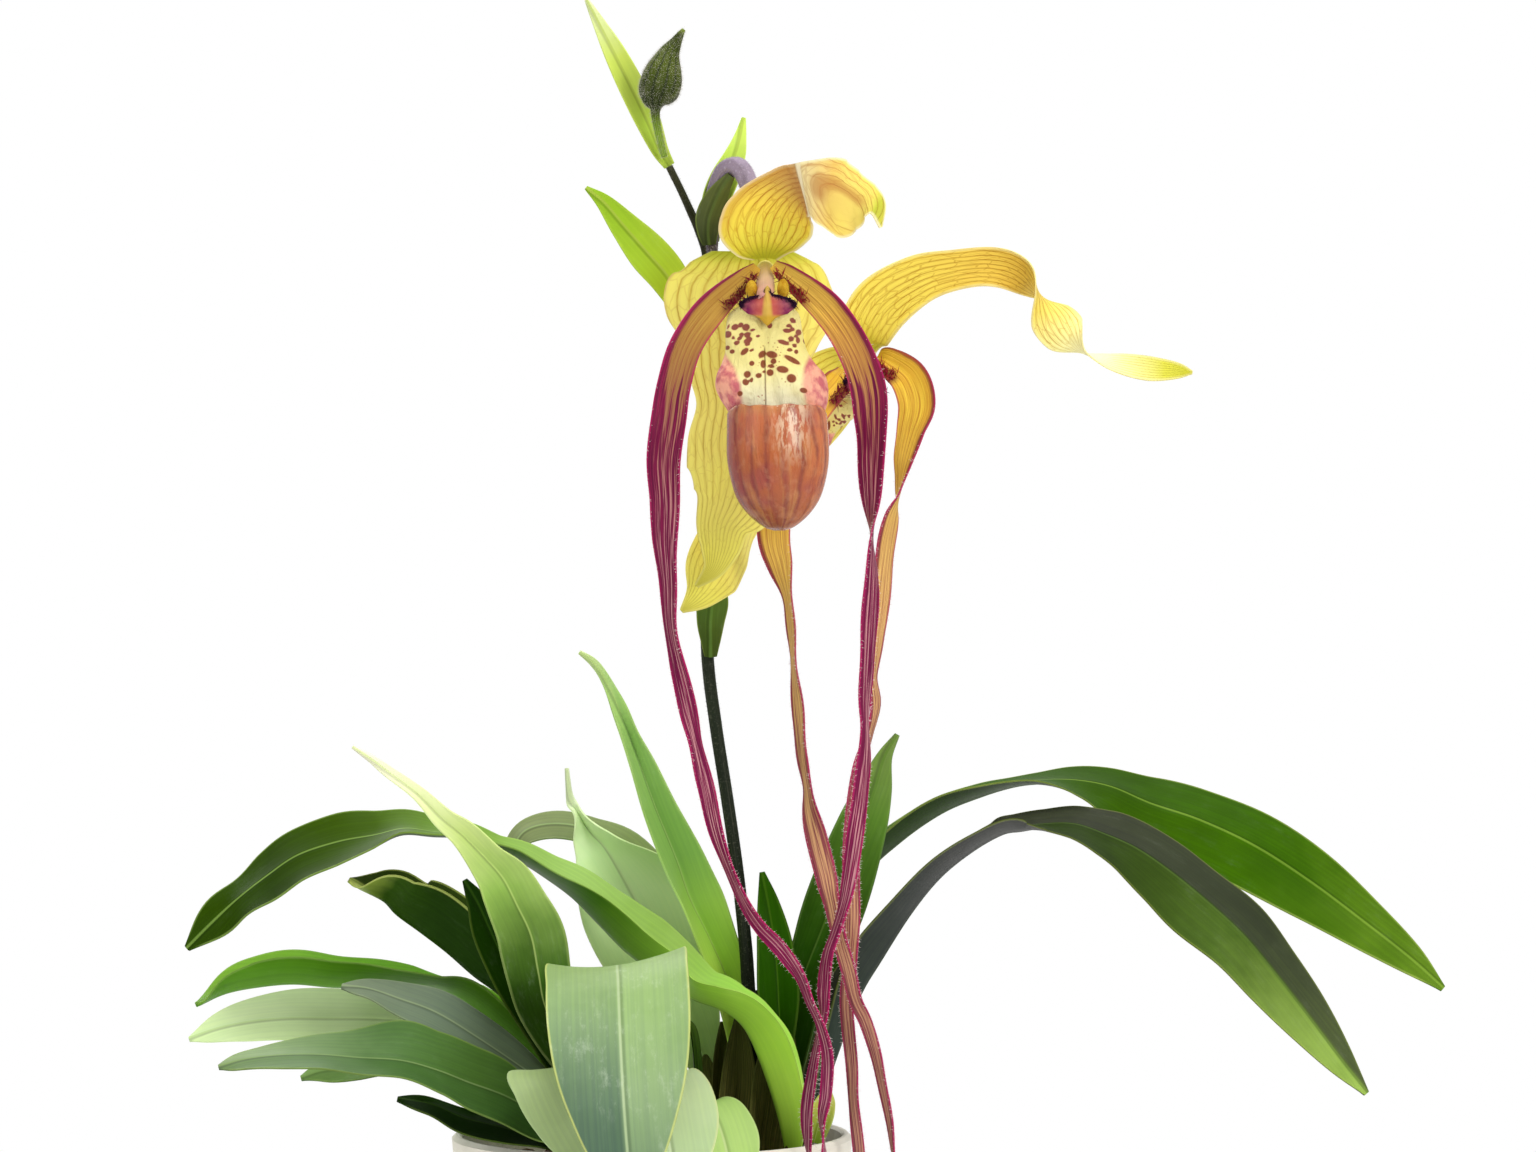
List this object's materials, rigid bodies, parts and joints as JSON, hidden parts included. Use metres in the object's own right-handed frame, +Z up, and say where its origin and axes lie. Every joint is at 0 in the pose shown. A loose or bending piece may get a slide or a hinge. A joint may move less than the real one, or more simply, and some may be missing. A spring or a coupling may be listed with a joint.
{
  "type": "potted orchid",
  "caption": "Slipper orchid with arching strap leaves, a tall stem with ribbon-petalled flowers and a bud, growing in bark in a plain round pot.",
  "frame": {"origin": "middle of the pot's flat underside", "axes": "+Z up along the pot's axis; both flowers face -Y; the longest leaves reach out along +X and -X"},
  "size_m": [0.3826, 0.1735, 0.4513],
  "materials": {
    "pot": "satin cream",
    "bark": "matt, rough",
    "crown": "matt, dry",
    "leaf": "satin",
    "stem": "matt, downy",
    "bract": "satin",
    "ovary": "matt, downy",
    "sepal": "satin",
    "crimson_petal": "satin",
    "golden_petal": "satin",
    "lip": "glossy",
    "column": "satin, hairy",
    "bud": "matt, downy"
  },
  "bodies": {
    "root": {"pot": "pot", "potting_mix": "bark", "growth_right": "crown", "growth_left": "crown", "leaf_right_upper": "leaf", "leaf_right_lower": "leaf", "leaf_right_upright": "leaf", "leaf_right_short": "leaf", "leaf_right_young": "leaf", "leaf_tall": "leaf", "leaf_broad": "leaf", "leaf_back_arch": "leaf", "leaf_long_left": "leaf", "leaf_pale_rising": "leaf", "leaf_left_dark": "leaf", "leaf_left_tip": "leaf", "leaf_left_high": "leaf", "leaf_left_band": "leaf", "leaf_left_grey": "leaf", "leaf_front_left": "leaf", "leaf_left_low": "leaf", "leaf_left_under": "leaf", "leaf_front_corner": "leaf", "leaf_front": "leaf", "leaf_front_low": "leaf", "leaf_front_round": "leaf", "leaf_curled": "leaf", "bract_low": "bract", "bract_middle": "bract", "bract_front_flower": "bract", "bract_bud": "bract", "dorsal_sepal_1": "sepal", "dorsal_sepal_2": "sepal", "synsepal_1": "sepal", "synsepal_2": "sepal", "petal_1_left": "crimson_petal", "petal_1_right": "crimson_petal", "petal_2_left": "golden_petal", "petal_2_right": "golden_petal", "flower_stem": "stem", "bud": "bud", "ovary_1": "ovary", "ovary_2": "ovary", "column_1": "column", "column_2": "column", "lip_1": "lip", "lip_2": "lip"}
  },
  "joints": []
}
